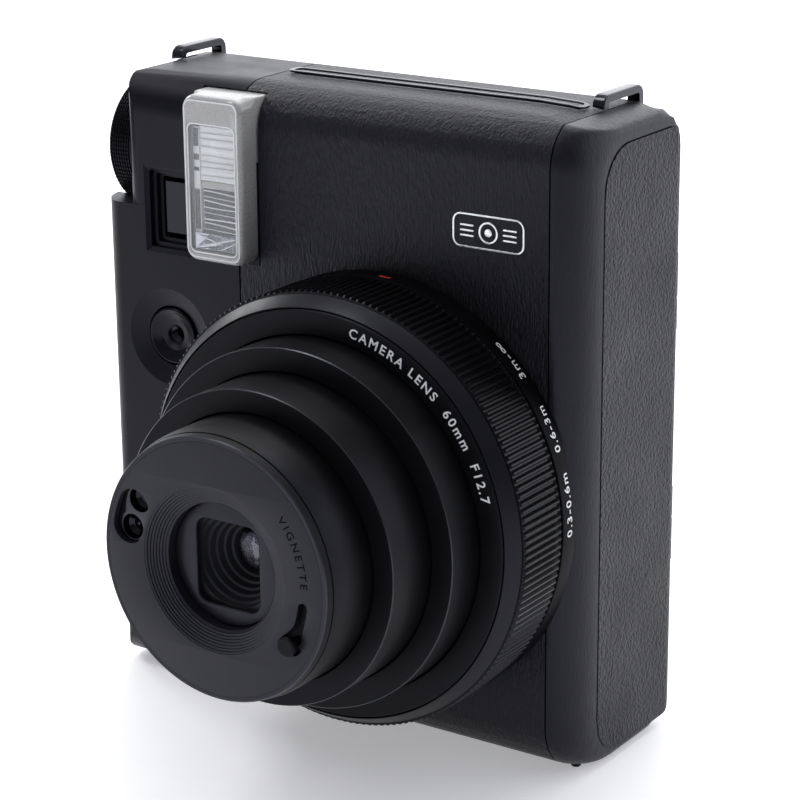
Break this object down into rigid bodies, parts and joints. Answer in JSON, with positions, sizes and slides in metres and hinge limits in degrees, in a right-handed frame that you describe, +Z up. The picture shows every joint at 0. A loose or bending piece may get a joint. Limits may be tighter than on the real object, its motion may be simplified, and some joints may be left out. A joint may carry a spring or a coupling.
{
  "type": "instant camera",
  "caption": "Instant film camera with a collapsible stepped lens barrel, knurled focus ring, tall front flash, side dial, strap lugs and rear film door",
  "frame": {"origin": "centre of the body's flat underside, between the side faces", "axes": "+X to the right seen from the front, the lens looks along -Y, +Z up towards the film slot"},
  "size_m": [0.1039, 0.0915, 0.1199],
  "materials": {
    "shell_plastic": "fine matte texture",
    "textured_plastic": "moulded leather grain",
    "leatherette": "coarse pebbled leatherette",
    "barrel_plastic": "satin",
    "gloss_black": "gloss",
    "inner_plastic": "matt",
    "steel": "brushed",
    "brass": "machined",
    "rubber": "matt",
    "clear_plastic": "clear",
    "coated_glass": "coated",
    "board_green": "solder mask",
    "battery_wrap": "printed wrap"
  },
  "bodies": {
    "camera_body": {"grip_cover": "shell_plastic", "side_cover": "shell_plastic", "rear_cover": "shell_plastic", "centre_cover": "textured_plastic", "side_panel": "leatherette", "scale_band": "barrel_plastic", "nameplate_ring": "barrel_plastic", "finder_frame": "gloss_black", "screen_window": "gloss_black", "flash_capacitor": "gloss_black", "strap_lug_left": "gloss_black", "strap_lug_right": "gloss_black", "slot_rim": "gloss_black", "chassis": "inner_plastic", "lens_base": "inner_plastic", "flash_sensor_block": "inner_plastic", "finder_tube": "inner_plastic", "door_hinge_pin": "steel", "roller_frame": "steel", "drive_motor": "steel", "flash_reflector": "steel", "shutter_spring": "steel", "dial_axle": "steel", "tripod_socket": "steel", "case_screw_1": "steel", "case_screw_2": "steel", "eyepiece_frame": "rubber", "flash_window": "clear_plastic", "flash_tube": "clear_plastic", "finder_rear_lens": "clear_plastic", "finder_front_lens": "coated_glass", "circuit_board": "board_green", "battery": "battery_wrap"},
    "film_door": {"film_door": "shell_plastic", "door_window": "clear_plastic", "pressure_springs": "steel"},
    "door_latch": {"door_latch": "gloss_black"},
    "focus_ring": {"focus_ring": "barrel_plastic"},
    "rear_barrel": {"rear_barrel": "barrel_plastic"},
    "middle_barrel": {"middle_barrel": "barrel_plastic"},
    "front_barrel": {"front_barrel": "barrel_plastic", "front_cap": "barrel_plastic", "sensor_windows": "gloss_black", "lens_cell": "inner_plastic", "front_lens": "coated_glass", "rear_lens": "coated_glass"},
    "vignette_lever": {"vignette_lever": "gloss_black"},
    "shutter_blade_left": {"shutter_blade_left": "steel"},
    "shutter_blade_right": {"shutter_blade_right": "steel"},
    "eject_roller_front": {"eject_roller_front": "steel"},
    "eject_roller_rear": {"eject_roller_rear": "steel"},
    "motor_pinion": {"motor_pinion": "brass"},
    "shutter_button": {"shutter_button": "gloss_black"},
    "effect_dial": {"effect_dial": "shell_plastic"},
    "brightness_dial": {"brightness_dial": "gloss_black"},
    "flash_mode_button": {"flash_mode_button": "gloss_black"},
    "self_timer_button": {"self_timer_button": "gloss_black"},
    "exposure_mode_button": {"exposure_mode_button": "gloss_black"},
    "battery_door": {"battery_door": "shell_plastic"}
  },
  "joints": [
    {"name": "focus_ring_turn", "type": "hinge", "parent": "camera_body", "child": "focus_ring", "pos_m": [0.0128, 0, 0.0488], "axis": [0, 1, 0], "range_deg": [-80, 0]},
    {"name": "rear_barrel_slide", "type": "slide", "parent": "camera_body", "child": "rear_barrel", "axis": [0, 1, 0], "range_m": [0, 0.008]},
    {"name": "middle_barrel_slide", "type": "slide", "parent": "rear_barrel", "child": "middle_barrel", "axis": [0, 1, 0], "range_m": [0, 0.0107]},
    {"name": "front_barrel_slide", "type": "slide", "parent": "middle_barrel", "child": "front_barrel", "axis": [0, 1, 0], "range_m": [0, 0.0116]},
    {"name": "vignette_lever_turn", "type": "hinge", "parent": "front_barrel", "child": "vignette_lever", "pos_m": [0.0128, 0, 0.0488], "axis": [0, 1, 0], "range_deg": [-22, 0]},
    {"name": "shutter_blade_left_swing", "type": "hinge", "parent": "front_barrel", "child": "shutter_blade_left", "pos_m": [-0.0002, 0, 0.0413], "axis": [0, 1, 0], "range_deg": [-45, 0]},
    {"name": "shutter_blade_right_swing", "type": "hinge", "parent": "front_barrel", "child": "shutter_blade_right", "pos_m": [0.0258, 0, 0.0413], "axis": [0, 1, 0], "range_deg": [0, 45]},
    {"name": "film_door_hinge", "type": "hinge", "parent": "camera_body", "child": "film_door", "pos_m": [0.0486, 0.0179, 0.06], "axis": [0, 0, 1], "range_deg": [-105, 0]},
    {"name": "door_latch_slide", "type": "slide", "parent": "camera_body", "child": "door_latch", "axis": [0, 0, 1], "range_m": [0, 0.001]},
    {"name": "eject_roller_rear_spin", "type": "hinge", "parent": "camera_body", "child": "eject_roller_rear", "pos_m": [0.0126, -0.00195, 0.1095], "axis": [1, 0, 0], "continuous": true},
    {"name": "eject_roller_front_spin", "type": "hinge", "parent": "camera_body", "child": "eject_roller_front", "pos_m": [0.0126, -0.00705, 0.1095], "axis": [1, 0, 0], "continuous": true},
    {"name": "motor_pinion_spin", "type": "hinge", "parent": "camera_body", "child": "motor_pinion", "pos_m": [-0.024, 0.00392, 0.1085], "axis": [1, 0, 0], "continuous": true},
    {"name": "shutter_button_press", "type": "slide", "parent": "camera_body", "child": "shutter_button", "axis": [0, 1, 0], "range_m": [0, 0.0013], "stiffness_N_per_m": 400},
    {"name": "effect_dial_turn", "type": "hinge", "parent": "camera_body", "child": "effect_dial", "pos_m": [-0.049, -0.005, 0.102], "axis": [1, 0, 0], "continuous": true},
    {"name": "brightness_dial_turn", "type": "hinge", "parent": "camera_body", "child": "brightness_dial", "pos_m": [-0.051, -0.005, 0.102], "axis": [1, 0, 0], "range_deg": [-60, 60]},
    {"name": "flash_mode_button_press", "type": "slide", "parent": "camera_body", "child": "flash_mode_button", "axis": [0, -1, 0], "range_m": [0, 0.0006], "stiffness_N_per_m": 300},
    {"name": "self_timer_button_press", "type": "slide", "parent": "camera_body", "child": "self_timer_button", "axis": [0, -1, 0], "range_m": [0, 0.0006], "stiffness_N_per_m": 300},
    {"name": "exposure_mode_button_press", "type": "slide", "parent": "camera_body", "child": "exposure_mode_button", "axis": [0, -1, 0], "range_m": [0, 0.0006], "stiffness_N_per_m": 300},
    {"name": "battery_door_hinge", "type": "hinge", "parent": "camera_body", "child": "battery_door", "pos_m": [-0.03725, 0.00355, 0.0001], "axis": [1, 0, 0], "range_deg": [0, 95]}
  ],
  "couplings": [
    {"joint": "rear_barrel_slide", "follows": "focus_ring_turn", "m_per_rad": -0.005724},
    {"joint": "middle_barrel_slide", "follows": "focus_ring_turn", "m_per_rad": -0.007656},
    {"joint": "front_barrel_slide", "follows": "focus_ring_turn", "m_per_rad": -0.0083},
    {"joint": "shutter_blade_right_swing", "follows": "shutter_blade_left_swing", "ratio": -1},
    {"joint": "eject_roller_front_spin", "follows": "eject_roller_rear_spin", "ratio": -1},
    {"joint": "motor_pinion_spin", "follows": "eject_roller_rear_spin", "ratio": -0.75}
  ]
}
